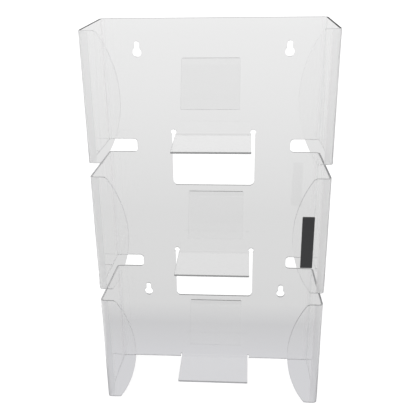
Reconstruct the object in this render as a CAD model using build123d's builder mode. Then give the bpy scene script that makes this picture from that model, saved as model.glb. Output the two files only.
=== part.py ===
"""Wall dispenser for three boxes of disposable gloves, folded from one clear sheet.

Frame: +Z up, +Y into the wall, the front towards -Y. The origin lies on the face that meets
the wall, midway between the two upper screws on which the dispenser hangs. Millimetres.
"""

import os
from math import cos, radians, sin, tan

from build123d import *

os.makedirs("parts", exist_ok=True)

# ---- The sheet ----
sheet_thickness = 2.0
bend_inner_radius = 2.0
bend_outer_radius = bend_inner_radius + sheet_thickness

# ---- Tiers ----
tier_count = 3
tier_height = 123.8
tier_gap = 14.4
tier_pitch = tier_height + tier_gap
overall_height = tier_count * tier_pitch - tier_gap

# ---- Back panel and side walls ----
panel_width = 225.0
wall_depth = 83.5
wall_splay = 2.8  # degrees that each side wall leans outwards
front_half_width = panel_width / 2 + wall_depth * tan(radians(wall_splay))

# ---- Gaps between tiers, cut through the bends, the walls and the lips ----
gap_inset = 31.3  # how far a gap runs into the panel from its side bend
gap_corner_radius = 4.0

# ---- Front lips ----
lip_top_reach = 15.5
lip_middle_reach = 34.8
lip_bottom_reach = 14.5
lip_top_radius = 6.0
lip_bottom_radius = 1.5

# ---- Tongues: a shelf below each upper tier and a floor below the last ----
tongue_width = 80.0
shelf_reach = 58.5
floor_reach = 53.0
shelf_drop = 118.4  # top edge of a tier down to the top of its shelf
top_shelf_sag = 1.5  # degrees that the top shelf dips towards its front
tongue_end_cut = 0.2  # width of the cut that frees the end of a shelf
shelf_side_slot = 4.0
floor_side_slot = 1.5
relief_hole_radius = 3.0
window_corner_radius = 5.0
tongue_corner_radius = 1.0

# ---- Keyholes, in the top tier and the bottom tier ----
keyhole_spacing = 154.0
seat_drop = 25.0  # top edge of a tier down to the seat of its screws
seat_radius = 2.8
entry_drop = 8.2  # seat down to the middle of the round entry
entry_radius = 4.75

# ---- Spring leaves, one bonded to the panel in each tier ----
leaf_thickness = 1.2
leaf_width = 60.0
leaf_flange = 4.5  # bonded strip along the top of a leaf
leaf_blade = 46.0
leaf_angle = 28.0  # degrees between a blade and the panel
leaf_inner_radius = 4.0
leaf_outer_radius = leaf_inner_radius + leaf_thickness
leaf_corner_radius = 1.0
# Place across the panel, and how far below the foot of the shelf window above, or in the top
# tier below where that foot would be. They are bonded by hand, so all differ.
leaf_places = [(-1.8, 1.3), (2.8, 6.8), (2.0, 5.6)]

cut_margin = 5.0  # how far a cutting shape runs past the sheet


def tier_top(tier):
    """Height of the top edge of a tier, counted from 0 at the top."""
    return seat_drop - tier * tier_pitch


bottom_z = tier_top(tier_count) + tier_gap


def bent_strip(outer_corners, thickness, outer_radius):
    """Section of a bent strip, from the corners of its outer side, thickened to its left."""
    with BuildSketch() as section:
        with BuildLine():
            FilletPolyline(*outer_corners, radius=outer_radius)
            offset(amount=thickness, side=Side.LEFT)
        make_face()
    return section.sketch


def tongue_section(tongue_top, reach, sag=0.0):
    """Side section of a tongue: forwards, round its bend and up into the panel."""
    underside = tongue_top - sheet_thickness
    tip = (-reach, underside - reach * tan(radians(sag)))
    panel_end = tongue_top + bend_inner_radius + cut_margin
    corners = [tip, (0, underside), (0, panel_end)]
    return bent_strip(corners, sheet_thickness, bend_outer_radius)


def lip_pair(top):
    """Both lips of a tier as faces in the XZ plane, each bulging inwards in one arc."""
    bottom = top - tier_height
    top_end = (front_half_width - lip_top_reach, top)
    middle = (front_half_width - lip_middle_reach, (top + bottom) / 2)
    bottom_end = (front_half_width - lip_bottom_reach, bottom)
    outside = front_half_width + cut_margin
    with BuildSketch() as lips:
        with BuildLine():
            ThreePointArc(top_end, middle, bottom_end)
            Polyline(bottom_end, (outside, bottom), (outside, top), top_end)
        make_face()
        fillet(lips.vertices().sort_by_distance(top_end)[0], lip_top_radius)
        fillet(lips.vertices().sort_by_distance(bottom_end)[0], lip_bottom_radius)
        mirror(about=Plane.YZ)
    return lips.sketch


def tongue_cutout(top, width, height, corner_radius):
    """Opening that a tongue is folded out of, square at its bend, rounded at its far end."""
    with BuildSketch() as cutout:
        with Locations((0, top)):
            Rectangle(width, height, align=(Align.CENTER, Align.MAX))
        fillet(cutout.vertices().group_by(Axis.Y)[0], corner_radius)
    return cutout.sketch


def keyhole(across, seat_height):
    """Round entry with a narrow slot that rises to the seat of a screw."""
    with BuildSketch() as hole:
        with Locations((across, seat_height - entry_drop)):
            Circle(entry_radius)
            Rectangle(2 * seat_radius, entry_drop, align=(Align.CENTER, Align.MIN))
        with Locations((across, seat_height)):
            Circle(seat_radius)
    return hole.sketch


# ---- Heights ----
tier_tops = [tier_top(tier) for tier in range(tier_count)]
shelf_tops = [top - shelf_drop for top in tier_tops[:-1]]
floor_top = bottom_z + sheet_thickness

# ---- Outlines of the folded sheet ----
lip_inner = front_half_width - lip_middle_reach - cut_margin
tray_corners = [
    (lip_inner, -wall_depth),
    (front_half_width, -wall_depth),
    (panel_width / 2, 0),
    (-panel_width / 2, 0),
    (-front_half_width, -wall_depth),
    (-lip_inner, -wall_depth),
]
tray = bent_strip(tray_corners, sheet_thickness, bend_outer_radius)
lip_pairs = [lip_pair(top) for top in tier_tops]
tongues = [tongue_section(shelf_tops[0], shelf_reach, top_shelf_sag)]
tongues += [tongue_section(top, shelf_reach) for top in shelf_tops[1:]]
tongues.append(tongue_section(floor_top, floor_reach))

gap_inner = panel_width / 2 - gap_inset
gap_width = front_half_width + cut_margin - gap_inner
gap_centre = gap_inner + gap_width / 2

# A shelf unfolds to its flat run plus a quarter turn at the middle of the sheet. The foot of
# the window that it leaves is measured down from the top edge of the tier below.
bend_length = radians(90) * (bend_inner_radius + sheet_thickness / 2)
window_height = shelf_reach - bend_outer_radius + bend_length + tongue_end_cut
window_width = tongue_width + 2 * shelf_side_slot
slot_centre = (tongue_width + shelf_side_slot) / 2
window_foot = shelf_drop - bend_inner_radius + window_height - tier_pitch
cutouts = [
    tongue_cutout(top + bend_inner_radius, window_width, window_height, window_corner_radius)
    for top in shelf_tops
]
cutouts.append(
    tongue_cutout(
        floor_top + bend_inner_radius,
        tongue_width + 2 * floor_side_slot,
        bend_outer_radius + cut_margin,
        floor_side_slot,
    )
)
keyholes = [
    keyhole(side * keyhole_spacing / 2, top - seat_drop)
    for top in (tier_tops[0], tier_tops[-1])
    for side in (-1, 1)
]

# ---- The folded sheet ----
with BuildPart() as folded_sheet:
    with BuildSketch(Plane.XY.offset(bottom_z)):
        add(tray)
    extrude(amount=overall_height)

    # Along the front only the lips are left.
    with BuildSketch(Plane.XZ.offset(wall_depth / 2)):
        with Locations((0, bottom_z - cut_margin)):
            Rectangle(
                2 * front_half_width,
                overall_height + 2 * cut_margin,
                align=(Align.CENTER, Align.MIN),
            )
        add(lip_pairs, mode=Mode.SUBTRACT)
    extrude(amount=wall_depth, mode=Mode.SUBTRACT)

    # Gaps between the tiers, from inside the panel's edges out through the walls.
    with BuildSketch(Plane.XZ):
        for top in tier_tops[1:]:
            with Locations((-gap_centre, top + tier_gap / 2), (gap_centre, top + tier_gap / 2)):
                RectangleRounded(gap_width, tier_gap, gap_corner_radius)
    extrude(amount=wall_depth + cut_margin, both=True, mode=Mode.SUBTRACT)

    # Keyholes, and the openings that the tongues are folded out of.
    with BuildSketch(Plane.XZ):
        add(keyholes)
        add(cutouts)
    extrude(amount=bend_outer_radius, both=True, mode=Mode.SUBTRACT)

    # The tongues, rounded a little at their free corners.
    for tongue in tongues:
        with BuildSketch(Plane.YZ):
            add(tongue)
        extrude(amount=tongue_width / 2, both=True)
        tip_face = folded_sheet.faces(Select.LAST).sort_by(Axis.Y)[0]
        fillet(tip_face.edges().sort_by(SortBy.LENGTH)[:2], tongue_corner_radius)

    # Relief holes at both ends of each shelf's bend.
    with BuildSketch(Plane.XZ):
        for top in shelf_tops:
            bend_start = top + bend_inner_radius
            with Locations((-slot_centre, bend_start), (slot_centre, bend_start)):
                Circle(relief_hole_radius)
    extrude(amount=bend_outer_radius, both=True, mode=Mode.SUBTRACT)

folded_sheet.part.label = "folded_sheet"
export_step(folded_sheet.part, "parts/folded_sheet.step")

# ---- The spring leaves ----
blade_run = Vector(-sin(radians(leaf_angle)), -cos(radians(leaf_angle)))
bend_setback = leaf_outer_radius * tan(radians(leaf_angle / 2))

for tier, (across, below_window) in enumerate(leaf_places[:tier_count]):
    flange_top = Vector(-sheet_thickness, tier_tops[tier] - window_foot - below_window)
    bend_corner = flange_top - Vector(0, leaf_flange + bend_setback)
    blade_tip = bend_corner + blade_run * (bend_setback + leaf_blade)
    leaf = bent_strip([blade_tip, bend_corner, flange_top], leaf_thickness, leaf_outer_radius)
    with BuildPart() as spring_leaf:
        with BuildSketch(Plane.YZ.offset(across)):
            add(leaf)
        extrude(amount=leaf_width / 2, both=True)
        corner_edges = spring_leaf.edges().sort_by(SortBy.LENGTH)[:4]
        fillet(corner_edges, leaf_corner_radius)
    leaf_name = f"spring_leaf_{tier + 1}"
    spring_leaf.part.label = leaf_name
    export_step(spring_leaf.part, f"parts/{leaf_name}.step")
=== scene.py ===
"""Looks of the clear three-tier glove dispenser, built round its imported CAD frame.

The folded sheet is the CAD node itself in a clear-plastic material. The three spring leaves
are finer meshes, because each one bends between the panel that it is bonded to and its blade.
"""

from math import cos, pi, radians, sin, sqrt

import bmesh
import bpy
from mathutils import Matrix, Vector


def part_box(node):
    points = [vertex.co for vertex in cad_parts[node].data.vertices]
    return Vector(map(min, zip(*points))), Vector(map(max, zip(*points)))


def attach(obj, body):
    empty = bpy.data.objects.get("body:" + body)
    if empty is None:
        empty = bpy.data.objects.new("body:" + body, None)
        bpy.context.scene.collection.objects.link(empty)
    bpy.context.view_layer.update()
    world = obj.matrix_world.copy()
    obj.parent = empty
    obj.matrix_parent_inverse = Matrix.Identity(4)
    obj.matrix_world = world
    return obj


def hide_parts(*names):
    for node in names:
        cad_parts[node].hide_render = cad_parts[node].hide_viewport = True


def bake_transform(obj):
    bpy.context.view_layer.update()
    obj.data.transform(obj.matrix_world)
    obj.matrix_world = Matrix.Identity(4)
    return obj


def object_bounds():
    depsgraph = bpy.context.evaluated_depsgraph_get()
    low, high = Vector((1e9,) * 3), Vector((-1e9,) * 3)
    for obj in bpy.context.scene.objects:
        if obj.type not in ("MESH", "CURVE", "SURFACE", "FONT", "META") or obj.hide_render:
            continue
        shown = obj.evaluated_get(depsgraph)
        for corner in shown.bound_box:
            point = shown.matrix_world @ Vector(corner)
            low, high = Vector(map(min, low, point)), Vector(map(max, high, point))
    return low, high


MM = 0.001
FRAME_PIXELS = 420

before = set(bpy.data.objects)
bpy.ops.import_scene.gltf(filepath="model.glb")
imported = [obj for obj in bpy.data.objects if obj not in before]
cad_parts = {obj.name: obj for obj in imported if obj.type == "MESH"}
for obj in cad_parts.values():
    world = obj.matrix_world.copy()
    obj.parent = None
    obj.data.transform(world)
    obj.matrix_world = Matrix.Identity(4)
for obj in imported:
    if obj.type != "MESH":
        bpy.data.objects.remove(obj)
cad_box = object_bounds()

# ---- The folded sheet: sizes as in the part's source ----
SHEET_THICKNESS = 2.0 * MM
PANEL_FRONT = -SHEET_THICKNESS
BEND_RADIUS = 4.0 * MM
WALL_DEPTH = 83.5 * MM
TOP_EDGE = 25.0 * MM
TIER_PITCH = 138.2 * MM
TONGUE_HALF_WIDTH = 40.0 * MM

# ---- Limits that tell one part of the sheet from the next, for its material ----
SIDE_BEND_START = 108.0 * MM
TONGUE_TIPS_FROM = -61.0 * MM
TONGUE_TIPS_TO = -45.0 * MM
TOP_TIER_FOOT = -99.0 * MM
FLOOR_TONGUE_FROM = -370.0 * MM
EDGE_MARGIN = 1.0 * MM
SURFACE_MARGIN = 0.1 * MM
LEVEL_FROM = 0.9  # share of the normal that is upright on an edge that lies level
RISING_FROM = 0.4  # share of the normal that is sideways on an edge that runs up the panel
FACING_Y_FROM = 0.5  # share of the normal along Y on a face towards the front or the wall

# ---- Spring leaves ----
LEAF_THICKNESS = 1.2 * MM
LEAF_FLANGE = 4.5 * MM
LEAF_BLADE = 46.0 * MM
LEAF_ANGLE = radians(28)
LEAF_INNER_RADIUS = 4.0 * MM
LEAF_CORNER = 1.0 * MM
BOND_THICKNESS = 0.15 * MM
LEAF_COLUMNS = (-1.0, -0.9, -0.6, -0.3, 0.0, 0.3, 0.6, 0.9, 1.0)  # shares of the half width
LEAF_CORNER_TURNS = (0, 30, 60, 90)  # degrees round each corner
FLANGE_ROW = 2.5 * MM
LEAF_BEND_STEPS = 10
LEAF_BLADE_STEPS = 24

# ---- Label film on the right lip of the middle tier ----
LABEL_LEFT = 90.5 * MM
LABEL_WIDTH = 12.0 * MM
LABEL_TOP = -152.2 * MM
LABEL_HEIGHT = 55.8 * MM
LABEL_CORNER = 0.8 * MM
LABEL_THICKNESS = 0.08 * MM
LABEL_CORNER_STEPS = 4
GLUE_GAP = 0.02 * MM

# ---- Camera, fitted to the photograph ----
CAMERA_PLACE = Vector((34.52, -697.93, 111.45)) * MM
CAMERA_TILT = radians(-24.145)
CAMERA_ROLL = radians(1.002)
CAMERA_PAN = radians(4.207)
FOCAL_PIXELS = 681.27
AXIS_PIXEL = (194.13, 227.24)
SENSOR_WIDTH = 36.0

# Light is reflected many times inside a clear sheet before it leaves at an edge.
LIGHT_BOUNCES = 96


# ---------------------------------------------------------------- node helpers


def new_material(name):
    """A material with an empty node tree and its output."""
    material = bpy.data.materials.new(name)
    material.use_nodes = True
    tree = material.node_tree
    tree.nodes.clear()
    output = tree.nodes.new("ShaderNodeOutputMaterial")
    return material, tree, output


def feed(tree, socket, value):
    """Links a socket to another, or sets its plain value."""
    if isinstance(value, bpy.types.NodeSocket):
        tree.links.new(value, socket)
    else:
        socket.default_value = value


def math(tree, operation, first, second=0.0):
    """One step of arithmetic on sockets or plain values."""
    node = tree.nodes.new("ShaderNodeMath")
    node.operation = operation
    feed(tree, node.inputs[0], first)
    feed(tree, node.inputs[1], second)
    return node.outputs[0]


def all_of(tree, *conditions):
    """1 where every condition is 1."""
    result = conditions[0]
    for condition in conditions[1:]:
        result = math(tree, "MULTIPLY", result, condition)
    return result


def any_of(tree, *conditions):
    """1 where at least one condition is 1."""
    result = conditions[0]
    for condition in conditions[1:]:
        result = math(tree, "MAXIMUM", result, condition)
    return result


def ramp(tree, factor, stops):
    """A colour ramp with the given (place, colour) stops."""
    node = tree.nodes.new("ShaderNodeValToRGB")
    elements = node.color_ramp.elements
    while len(elements) < len(stops):
        elements.new(0.5)
    for element, (place, colour) in zip(elements, stops):
        element.position = place
        element.color = (*colour, 1.0)
    tree.links.new(factor, node.inputs["Fac"])
    return node.outputs["Color"]


def mix_colour(tree, factor, first, second):
    node = tree.nodes.new("ShaderNodeMix")
    node.data_type = "RGBA"
    feed(tree, node.inputs["Factor"], factor)
    feed(tree, node.inputs["A"], first)
    feed(tree, node.inputs["B"], second)
    return node.outputs["Result"]


def mix_value(tree, factor, first, second):
    node = tree.nodes.new("ShaderNodeMix")
    node.data_type = "FLOAT"
    feed(tree, node.inputs["Factor"], factor)
    feed(tree, node.inputs["A"], first)
    feed(tree, node.inputs["B"], second)
    return node.outputs["Result"]


# ------------------------------------------------------------------- materials

SHEET_TINT = (0.98, 0.98, 0.98)
LEAF_TINT = (0.955, 0.955, 0.955)
PLASTIC_IOR = 1.53
FACE_ROUGHNESS = 0.0
EDGE_ROUGHNESS = 0.8
EDGE_CLEARNESS = 0.15
BEND_ROUGHNESS = 0.3
WAVE_SCALE = (34.0, 34.0, 9.0)
WAVE_DETAIL = 2.0
WAVE_DEPTH = 0.6 * MM
SHEET_WAVES = 0.4
LEAF_WAVES = 0.5
FILM_TONES = ((0.012, 0.012, 0.014), (0.02, 0.02, 0.022))
FILM_BACK_TONE = (0.92, 0.92, 0.92)
FILM_ROUGHNESS = 0.4
FILM_GRAIN = 900.0

# Tones of the satin sawn edges, partly their own pale tone and partly painted light and shade.
# They differ by tier and side of the object, because they stand in for how much light each edge
# catches where the photograph was taken; the near-black top edges of the top tier are painted
# shade.
WALL_TOP_TONE = (0.38, 0.38, 0.385)
LEFT_WALL_TOP_TONE = (0.56, 0.56, 0.565)
TOP_WALL_TOP_SHADE = (0.012, 0.012, 0.013)
LIP_TOP_TONE = (0.52, 0.52, 0.525)
PANEL_CUT_TONE = (0.36, 0.36, 0.365)
PANEL_TOP_SHADE = (0.012, 0.012, 0.013)
LOWER_EDGE_TONE = (0.75, 0.75, 0.76)
SHELF_TIP_TONE = (0.34, 0.342, 0.345)
FLOOR_TIP_TONE = (0.45, 0.45, 0.46)
RISING_TONE = (0.50, 0.50, 0.51)
LEFT_RISING_TONE = (0.80, 0.80, 0.81)
TOP_RISING_TONE = (0.92, 0.92, 0.92)
# The leaves' top-edge tones are painted shade, darkest on the first leaf.
LEAF_TOP_SHADES = ((0.03, 0.03, 0.031), (0.12, 0.12, 0.122), (0.25, 0.25, 0.255))
LEAF_SIDE_TONE = (0.86, 0.86, 0.86)


def object_space(tree):
    """The surface's place as one socket, then its place and unsigned normal by axis."""
    coordinates = tree.nodes.new("ShaderNodeTexCoord")
    place = tree.nodes.new("ShaderNodeSeparateXYZ")
    tree.links.new(coordinates.outputs["Object"], place.inputs[0])
    size = tree.nodes.new("ShaderNodeVectorMath")
    size.operation = "ABSOLUTE"
    tree.links.new(coordinates.outputs["Normal"], size.inputs[0])
    normal = tree.nodes.new("ShaderNodeSeparateXYZ")
    tree.links.new(size.outputs[0], normal.inputs[0])
    return coordinates.outputs["Object"], place.outputs, normal.outputs


def edge_tones_and_painted_shade(tree, place, normal):
    """(mask, tone) pairs for the folded sheet's sawn edges, whose tones are partly painted light
    and shade by tier and side. A later pair covers an earlier one.
    """
    across = math(tree, "ABSOLUTE", place["X"])
    off_tongues = math(tree, "GREATER_THAN", across, TONGUE_HALF_WIDTH + EDGE_MARGIN)
    on_panel = math(tree, "GREATER_THAN", place["Y"], PANEL_FRONT - SURFACE_MARGIN)
    on_walls = math(tree, "LESS_THAN", place["Y"], -BEND_RADIUS)
    on_lips = math(tree, "LESS_THAN", place["Y"], BEND_RADIUS - WALL_DEPTH)
    level = math(tree, "GREATER_THAN", normal["Z"], LEVEL_FROM)
    level = all_of(tree, level, any_of(tree, off_tongues, on_panel))
    rising = all_of(
        tree,
        math(tree, "GREATER_THAN", normal["X"], RISING_FROM),
        math(tree, "LESS_THAN", across, SIDE_BEND_START),
    )
    on_left = math(tree, "LESS_THAN", place["X"], -TONGUE_HALF_WIDTH)
    in_top_tier = math(tree, "GREATER_THAN", place["Z"], TOP_TIER_FOOT)
    below_top = math(tree, "SUBTRACT", TOP_EDGE + EDGE_MARGIN, place["Z"])
    below_top = math(tree, "FLOORED_MODULO", below_top, TIER_PITCH)
    at_tier_top = math(tree, "LESS_THAN", below_top, 2 * EDGE_MARGIN)
    facing_down = math(tree, "GREATER_THAN", below_top, TIER_PITCH / 2)
    tongue_tips = all_of(
        tree,
        math(tree, "GREATER_THAN", normal["Y"], FACING_Y_FROM),
        math(tree, "LESS_THAN", across, TONGUE_HALF_WIDTH + EDGE_MARGIN),
        math(tree, "GREATER_THAN", place["Y"], TONGUE_TIPS_FROM),
        math(tree, "LESS_THAN", place["Y"], TONGUE_TIPS_TO),
    )
    on_floor_tongue = math(tree, "LESS_THAN", place["Z"], FLOOR_TONGUE_FROM)
    return [
        (rising, RISING_TONE),
        (all_of(tree, rising, on_left), LEFT_RISING_TONE),
        (all_of(tree, rising, in_top_tier), TOP_RISING_TONE),
        (level, PANEL_CUT_TONE),
        (all_of(tree, level, at_tier_top, in_top_tier), PANEL_TOP_SHADE),
        (all_of(tree, level, on_walls), WALL_TOP_TONE),
        (all_of(tree, level, on_walls, on_left), LEFT_WALL_TOP_TONE),
        (all_of(tree, level, on_walls, in_top_tier), TOP_WALL_TOP_SHADE),
        (all_of(tree, level, on_lips), LIP_TOP_TONE),
        (all_of(tree, level, off_tongues, facing_down), LOWER_EDGE_TONE),
        (tongue_tips, SHELF_TIP_TONE),
        (all_of(tree, tongue_tips, on_floor_tongue), FLOOR_TIP_TONE),
    ]


def side_bends(tree, place):
    """1 in the four bends that run up the sides of the sheet."""
    across = math(tree, "ABSOLUTE", place["X"])
    beyond = math(tree, "GREATER_THAN", across, SIDE_BEND_START)
    back = math(tree, "GREATER_THAN", place["Y"], -BEND_RADIUS)
    front = math(tree, "LESS_THAN", place["Y"], BEND_RADIUS - WALL_DEPTH)
    return all_of(tree, beyond, any_of(tree, back, front))


def rolled_waves(tree, position, strength):
    """Faint long waves of an extruded sheet, mostly running up and down it."""
    mapping = tree.nodes.new("ShaderNodeMapping")
    mapping.inputs["Scale"].default_value = WAVE_SCALE
    tree.links.new(position, mapping.inputs["Vector"])
    noise = tree.nodes.new("ShaderNodeTexNoise")
    noise.inputs["Scale"].default_value = 1.0
    noise.inputs["Detail"].default_value = WAVE_DETAIL
    tree.links.new(mapping.outputs[0], noise.inputs["Vector"])
    bump = tree.nodes.new("ShaderNodeBump")
    feed(tree, bump.inputs["Strength"], strength)
    bump.inputs["Distance"].default_value = WAVE_DEPTH
    tree.links.new(noise.outputs["Fac"], bump.inputs["Height"])
    return bump.outputs["Normal"]


def clear_shader(tree, output):
    """Solid clear plastic that bends light, wired to the material's output."""
    shader = tree.nodes.new("ShaderNodeBsdfPrincipled")
    shader.inputs["Transmission Weight"].default_value = 1.0
    shader.inputs["IOR"].default_value = PLASTIC_IOR
    tree.links.new(shader.outputs[0], output.inputs["Surface"])
    return shader


def sheet_material():
    """Clear sheet with polished faces, slightly matt side bends and satin sawn edges whose tones
    paint light and shade.
    """
    material, tree, output = new_material("clear_sheet")
    position, place, normal = object_space(tree)
    shader = clear_shader(tree, output)
    tint = (*SHEET_TINT, 1)
    edge = 0.0
    # The sawn edges' tones, partly painted light and shade, cover the sheet's tint.
    for mask, tone in edge_tones_and_painted_shade(tree, place, normal):
        tint = mix_colour(tree, mask, tint, (*tone, 1))
        edge = math(tree, "MAXIMUM", mask, edge)
    feed(tree, shader.inputs["Base Color"], tint)
    bends = side_bends(tree, place)
    roughness = mix_value(tree, bends, FACE_ROUGHNESS, BEND_ROUGHNESS)
    feed(tree, shader.inputs["Roughness"], mix_value(tree, edge, roughness, EDGE_ROUGHNESS))
    feed(tree, shader.inputs["Transmission Weight"], mix_value(tree, edge, 1.0, EDGE_CLEARNESS))
    strength = mix_value(tree, bends, SHEET_WAVES, 0.0)
    feed(tree, shader.inputs["Normal"], rolled_waves(tree, position, strength))
    return material


def leaf_material():
    """Clear plastic of a leaf's polished faces."""
    material, tree, output = new_material("clear_leaf")
    position, _, _ = object_space(tree)
    shader = clear_shader(tree, output)
    shader.inputs["Base Color"].default_value = (*LEAF_TINT, 1)
    shader.inputs["Roughness"].default_value = FACE_ROUGHNESS
    feed(tree, shader.inputs["Normal"], rolled_waves(tree, position, LEAF_WAVES))
    return material


def leaf_edge_material(name, tone):
    """Satin plastic of a leaf's cut edge, in one tone, which on the top edges is painted shade."""
    material, tree, output = new_material(name)
    shader = clear_shader(tree, output)
    shader.inputs["Base Color"].default_value = (*tone, 1)
    shader.inputs["Roughness"].default_value = EDGE_ROUGHNESS
    shader.inputs["Transmission Weight"].default_value = EDGE_CLEARNESS
    return material


def label_material():
    """Dull charcoal film, faintly mottled, with a pale glued side."""
    material, tree, output = new_material("charcoal_film")
    shader = tree.nodes.new("ShaderNodeBsdfPrincipled")
    coordinates = tree.nodes.new("ShaderNodeTexCoord")
    noise = tree.nodes.new("ShaderNodeTexNoise")
    noise.inputs["Scale"].default_value = FILM_GRAIN
    tree.links.new(coordinates.outputs["Object"], noise.inputs["Vector"])
    dark, light = [(*tone, 1) for tone in FILM_TONES]
    shade = mix_colour(tree, noise.outputs["Fac"], dark, light)
    normal = tree.nodes.new("ShaderNodeSeparateXYZ")
    tree.links.new(coordinates.outputs["Normal"], normal.inputs[0])
    glued_side = math(tree, "GREATER_THAN", normal.outputs["Y"], FACING_Y_FROM)
    shade = mix_colour(tree, glued_side, shade, (*FILM_BACK_TONE, 1))
    feed(tree, shader.inputs["Base Color"], shade)
    shader.inputs["Roughness"].default_value = FILM_ROUGHNESS
    tree.links.new(shader.outputs[0], output.inputs["Surface"])
    return material


# ---------------------------------------------------------------------- pieces


def mesh_object(name, data, materials):
    """An object in the scene that shows the mesh, with its materials in order."""
    piece = bpy.data.objects.new(name, data)
    bpy.context.scene.collection.objects.link(piece)
    for material in materials:
        data.materials.append(material)
    return piece


def leaf_profile():
    """Middle line of a leaf in side view, from its top end: (depth, height, turn) points."""
    middle_radius = LEAF_INNER_RADIUS + LEAF_THICKNESS / 2
    ends = [LEAF_CORNER * (1 - cos(radians(turn))) for turn in LEAF_CORNER_TURNS]
    profile = []
    for run in ends + [FLANGE_ROW, LEAF_FLANGE]:
        profile.append((0.0, -run, 0.0))
    for step in range(1, LEAF_BEND_STEPS + 1):
        turn = LEAF_ANGLE * step / LEAF_BEND_STEPS
        depth = middle_radius * (1 - cos(turn))
        profile.append((-depth, -LEAF_FLANGE - middle_radius * sin(turn), turn))
    start_depth, start_height, _ = profile[-1]
    blade_steps = range(1, LEAF_BLADE_STEPS + 1)
    runs = [(LEAF_BLADE - LEAF_CORNER) * step / LEAF_BLADE_STEPS for step in blade_steps]
    runs += [LEAF_BLADE - end for end in reversed(ends[:-1])]
    for run in runs:
        depth = start_depth - run * sin(LEAF_ANGLE)
        height = start_height - run * cos(LEAF_ANGLE)
        profile.append((depth, height, LEAF_ANGLE))
    return profile


def half_widths(profile, half_width):
    """Half width of the leaf at each profile point, less where its corners are rounded."""
    lengths = [0.0]
    for (depth, height, _), (next_depth, next_height, _) in zip(profile, profile[1:]):
        step = Vector((next_depth - depth, next_height - height)).length
        lengths.append(lengths[-1] + step)
    widths = []
    for length in lengths:
        from_end = min(length, lengths[-1] - length)
        inside = max(LEAF_CORNER - from_end, 0.0)
        widths.append(half_width - LEAF_CORNER + sqrt(max(LEAF_CORNER**2 - inside**2, 0.0)))
    return widths


def leaf_mesh(name, centre, half_width, flange_top):
    """Closed mesh of one leaf: a front and a back skin joined by the cut edge all round."""
    profile = leaf_profile()
    widths = half_widths(profile, half_width)
    back_plane = PANEL_FRONT - BOND_THICKNESS - LEAF_THICKNESS / 2
    mesh = bmesh.new()
    skins = []
    for side in (-1, 1):
        rows = []
        for (depth, height, turn), width in zip(profile, widths):
            out = side * LEAF_THICKNESS / 2
            y = back_plane + depth - out * cos(turn)
            z = flange_top + height + out * sin(turn)
            rows.append([mesh.verts.new((centre + width * c, y, z)) for c in LEAF_COLUMNS])
        skins.append(rows)
    back, front = skins
    last_row = len(profile) - 1
    last_column = len(LEAF_COLUMNS) - 1
    for row in range(last_row):
        for column in range(last_column):
            corners = ((row, column), (row, column + 1), (row + 1, column + 1), (row + 1, column))
            face = mesh.faces.new([back[r][c] for r, c in corners])
            face.smooth = True
            face = mesh.faces.new([front[r][c] for r, c in reversed(corners)])
            face.smooth = True
    ring = [(0, c) for c in range(last_column)]
    ring += [(r, last_column) for r in range(last_row)]
    ring += [(last_row, c) for c in range(last_column, 0, -1)]
    ring += [(r, 0) for r in range(last_row, 0, -1)]
    for (row, column), (next_row, next_column) in zip(ring, ring[1:] + ring[:1]):
        edge = [
            back[row][column],
            front[row][column],
            front[next_row][next_column],
            back[next_row][next_column],
        ]
        face = mesh.faces.new(edge)
        face.material_index = 1 if row == next_row == 0 else 2
        for side in face.edges:
            side.smooth = False
    bmesh.ops.recalc_face_normals(mesh, faces=mesh.faces)
    data = bpy.data.meshes.new(name)
    mesh.to_mesh(data)
    mesh.free()
    return data


def add_leaf(number, materials):
    """A leaf that bends over the first part of its blade, in place of its solid."""
    node = f"spring_leaf_{number}"
    low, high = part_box(node)
    centre = (low.x + high.x) / 2
    half_width = (high.x - low.x) / 2
    data = leaf_mesh(f"clear_leaf_{number}", centre, half_width, high.z)
    piece = mesh_object(f"clear_leaf_{number}", data, materials)
    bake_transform(piece)
    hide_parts(node)


def add_label(material):
    """A bare film on the lip's front face, with small rounded corners."""
    low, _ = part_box("folded_sheet")
    glued_plane = low.y - GLUE_GAP
    right = LABEL_LEFT + LABEL_WIDTH
    bottom = LABEL_TOP - LABEL_HEIGHT
    centres = [
        (right - LABEL_CORNER, LABEL_TOP - LABEL_CORNER, 0),
        (LABEL_LEFT + LABEL_CORNER, LABEL_TOP - LABEL_CORNER, 90),
        (LABEL_LEFT + LABEL_CORNER, bottom + LABEL_CORNER, 180),
        (right - LABEL_CORNER, bottom + LABEL_CORNER, 270),
    ]
    mesh = bmesh.new()
    outline = []
    for x, z, first in centres:
        for step in range(LABEL_CORNER_STEPS + 1):
            angle = radians(first + 90 * step / LABEL_CORNER_STEPS)
            across = x + LABEL_CORNER * cos(angle)
            height = z + LABEL_CORNER * sin(angle)
            outline.append(mesh.verts.new((across, glued_plane, height)))
    face = mesh.faces.new(outline)
    film = bmesh.ops.extrude_face_region(mesh, geom=[face])
    moved = [item for item in film["geom"] if isinstance(item, bmesh.types.BMVert)]
    bmesh.ops.translate(mesh, verts=moved, vec=(0, -LABEL_THICKNESS, 0))
    bmesh.ops.recalc_face_normals(mesh, faces=mesh.faces)
    data = bpy.data.meshes.new("label_film")
    mesh.to_mesh(data)
    mesh.free()
    piece = mesh_object("label_film", data, [material])
    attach(piece, "dispenser")


# ----------------------------------------------------------------------- stage

WHITE = (1, 1, 1, 1)

# Metres. The floor's tones run outwards from a footprint round the object, and are half way
# along at FALL_OFF from it.
FLOOR_HALF = 8.0
FLOOR_DROP = 0.2 * MM
FOOTPRINT_HALF = (0.14, 0.04)
FALL_OFF = 0.3
FLOOR_GLOW = 0.75
FLOOR_MATTE = (0.5, 0.5, 0.5)

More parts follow.
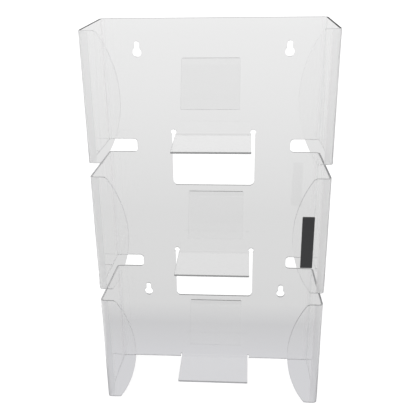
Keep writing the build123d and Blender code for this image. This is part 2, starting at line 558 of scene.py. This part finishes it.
# A pale floor with painted shade: it greys towards the object's foot, with one soft darker band of
# painted shade. The places are shares of the way out: 0 at the foot and 1 far away.
FLOOR_SHADE_TONES = [
    (0.0, (0.66, 0.66, 0.68)),
    (0.2, (0.60, 0.60, 0.61)),
    (0.3, (0.70, 0.70, 0.70)),
    (0.6, (0.72, 0.72, 0.72)),
    (0.9, (0.85, 0.85, 0.85)),
    (1.0, (0.95, 0.95, 0.95)),
]

# The studio from level, at 0.5, to straight up, at 1.
STUDIO_TONES = [
    (0.50, (0.95, 0.95, 0.95)),
    (0.75, (0.95, 0.95, 0.95)),
    (0.95, (0.55, 0.55, 0.55)),
]

# Softboxes at both sides, in metres and watts. Those on the left are brighter.
SOFTBOX_DEPTH = -0.1
LOW_BOX_ACROSS = 0.635
LOW_BOX_LIFT = 1.0 * MM
LOW_BOX_SIZE = (0.93, 0.5)
TALL_BOX_ACROSS = 0.9
TALL_BOX_HEIGHT = 0.1
TALL_BOX_SIZE = (0.7, 1.0)
TALL_BOX_AIM = (0, -0.05, -0.1)
SOFTBOX_SIDES = [("right", 1, 1.6, 1.6), ("left", -1, 2.9, 4.0)]  # name, side, low and tall power
KEY_PLACE = (-0.6, -1.2, 1.2)
KEY_AIM = (0, -0.05, -0.15)
KEY_SIZE = (0.8, 0.8)
KEY_POWER = 6


def floor_material():
    """White to the camera. Seen through the plastic it glows in painted shade that greys towards
    the object's foot.
    """
    material, tree, output = new_material("studio_floor")
    geometry = tree.nodes.new("ShaderNodeNewGeometry")
    place = tree.nodes.new("ShaderNodeSeparateXYZ")
    tree.links.new(geometry.outputs["Position"], place.inputs[0])
    beyond_x = math(tree, "ABSOLUTE", place.outputs["X"])
    beyond_x = math(tree, "SUBTRACT", beyond_x, FOOTPRINT_HALF[0])
    beyond_x = math(tree, "MAXIMUM", beyond_x, 0.0)
    beyond_y = math(tree, "ADD", place.outputs["Y"], FOOTPRINT_HALF[1])
    beyond_y = math(tree, "ABSOLUTE", beyond_y)
    beyond_y = math(tree, "SUBTRACT", beyond_y, FOOTPRINT_HALF[1])
    beyond_y = math(tree, "MAXIMUM", beyond_y, 0.0)
    squares = math(tree, "ADD", math(tree, "POWER", beyond_x, 2), math(tree, "POWER", beyond_y, 2))
    away = math(tree, "SQRT", squares)
    share = math(tree, "DIVIDE", away, math(tree, "ADD", away, FALL_OFF))
    # Painted shade seen through the plastic, greyer near the object's foot.
    shade_seen_through = ramp(tree, share, FLOOR_SHADE_TONES)
    path = tree.nodes.new("ShaderNodeLightPath")
    colour = mix_colour(tree, path.outputs["Is Camera Ray"], shade_seen_through, WHITE)
    glow = tree.nodes.new("ShaderNodeEmission")
    feed(tree, glow.inputs["Color"], colour)
    strength = mix_value(tree, path.outputs["Is Camera Ray"], 1.0, FLOOR_GLOW)
    feed(tree, glow.inputs["Strength"], strength)
    matte = tree.nodes.new("ShaderNodeBsdfDiffuse")
    matte.inputs["Color"].default_value = (*FLOOR_MATTE, 1)
    both = tree.nodes.new("ShaderNodeAddShader")
    tree.links.new(glow.outputs[0], both.inputs[0])
    tree.links.new(matte.outputs[0], both.inputs[1])
    chosen = tree.nodes.new("ShaderNodeMixShader")
    tree.links.new(path.outputs["Is Camera Ray"], chosen.inputs["Fac"])
    tree.links.new(glow.outputs[0], chosen.inputs[1])
    tree.links.new(both.outputs[0], chosen.inputs[2])
    tree.links.new(chosen.outputs[0], output.inputs["Surface"])
    return material


def add_floor():
    """A wide floor just under the object."""
    height = cad_box[0][2] - FLOOR_DROP
    corners = [(-1, -1), (1, -1), (1, 1), (-1, 1)]
    data = bpy.data.meshes.new("floor")
    vertices = [(x * FLOOR_HALF, y * FLOOR_HALF, height) for x, y in corners]
    data.from_pydata(vertices, [], [(0, 1, 2, 3)])
    floor = mesh_object("floor", data, [floor_material()])


def set_world():
    """White behind everything for the camera, a studio from grey to pale for every other ray."""
    world = bpy.data.worlds.new("studio")
    bpy.context.scene.world = world
    world.use_nodes = True
    tree = world.node_tree
    tree.nodes.clear()
    output = tree.nodes.new("ShaderNodeOutputWorld")
    coordinates = tree.nodes.new("ShaderNodeTexCoord")
    direction = tree.nodes.new("ShaderNodeSeparateXYZ")
    tree.links.new(coordinates.outputs["Generated"], direction.inputs[0])
    height = math(tree, "MULTIPLY_ADD", direction.outputs["Z"], 0.5)
    height.node.inputs[2].default_value = 0.5
    studio = ramp(tree, height, STUDIO_TONES)
    path = tree.nodes.new("ShaderNodeLightPath")
    colour = mix_colour(tree, path.outputs["Is Camera Ray"], studio, WHITE)
    background = tree.nodes.new("ShaderNodeBackground")
    feed(tree, background.inputs["Color"], colour)
    tree.links.new(background.outputs[0], output.inputs["Surface"])


def add_softbox(name, place, aim, size, power, mirrored):
    """A softbox that is either only mirrored in the plastic, or only lights the object."""
    light = bpy.data.lights.new(name, "AREA")
    light.shape = "RECTANGLE"
    light.size, light.size_y = size
    light.energy = power
    lamp = bpy.data.objects.new(name, light)
    bpy.context.scene.collection.objects.link(lamp)
    lamp.location = place
    lamp.rotation_euler = (Vector(aim) - Vector(place)).to_track_quat("-Z", "Y").to_euler()
    lamp.visible_camera = False
    lamp.visible_diffuse = not mirrored
    lamp.visible_glossy = mirrored
    lamp.visible_transmission = False


def add_softboxes():
    """A low box that faces up and a tall box, mirrored at each side, and a key that lights."""
    for name, side, low_power, tall_power in SOFTBOX_SIDES:
        low = Vector((side * LOW_BOX_ACROSS, SOFTBOX_DEPTH, cad_box[0][2] + LOW_BOX_LIFT))
        add_softbox(f"{name}_low_box", low, low + Vector((0, 0, 1)), LOW_BOX_SIZE, low_power, True)
        tall = Vector((side * TALL_BOX_ACROSS, SOFTBOX_DEPTH, TALL_BOX_HEIGHT))
        add_softbox(f"{name}_tall_box", tall, TALL_BOX_AIM, TALL_BOX_SIZE, tall_power, True)
    add_softbox("key", KEY_PLACE, KEY_AIM, KEY_SIZE, KEY_POWER, False)


def add_camera():
    """The photograph's camera, with its lens shifted as the fit found it."""
    data = bpy.data.cameras.new("camera")
    data.sensor_width = SENSOR_WIDTH
    data.lens = FOCAL_PIXELS * SENSOR_WIDTH / FRAME_PIXELS
    data.shift_x = (FRAME_PIXELS / 2 - AXIS_PIXEL[0]) / FRAME_PIXELS
    data.shift_y = (AXIS_PIXEL[1] - FRAME_PIXELS / 2) / FRAME_PIXELS
    camera = bpy.data.objects.new("camera", data)
    bpy.context.scene.collection.objects.link(camera)
    camera.location = CAMERA_PLACE
    camera.rotation_euler = (pi / 2 + CAMERA_TILT, CAMERA_ROLL, CAMERA_PAN)
    bpy.context.scene.camera = camera


# ----------------------------------------------------------------------- build

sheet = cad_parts["folded_sheet"]
sheet.data.materials[0] = sheet_material()
leaf_faces = leaf_material()
leaf_sides = leaf_edge_material("leaf_side_edge", LEAF_SIDE_TONE)
for number, tone in enumerate(LEAF_TOP_SHADES, 1):
    leaf_top = leaf_edge_material(f"leaf_{number}_top_edge", tone)
    add_leaf(number, [leaf_faces, leaf_top, leaf_sides])
add_label(label_material())

add_floor()
set_world()
add_softboxes()
add_camera()
bpy.context.scene.view_settings.view_transform = "Standard"
bpy.context.scene.cycles.max_bounces = LIGHT_BOUNCES
bpy.context.scene.cycles.glossy_bounces = LIGHT_BOUNCES
bpy.context.scene.cycles.transmission_bounces = LIGHT_BOUNCES
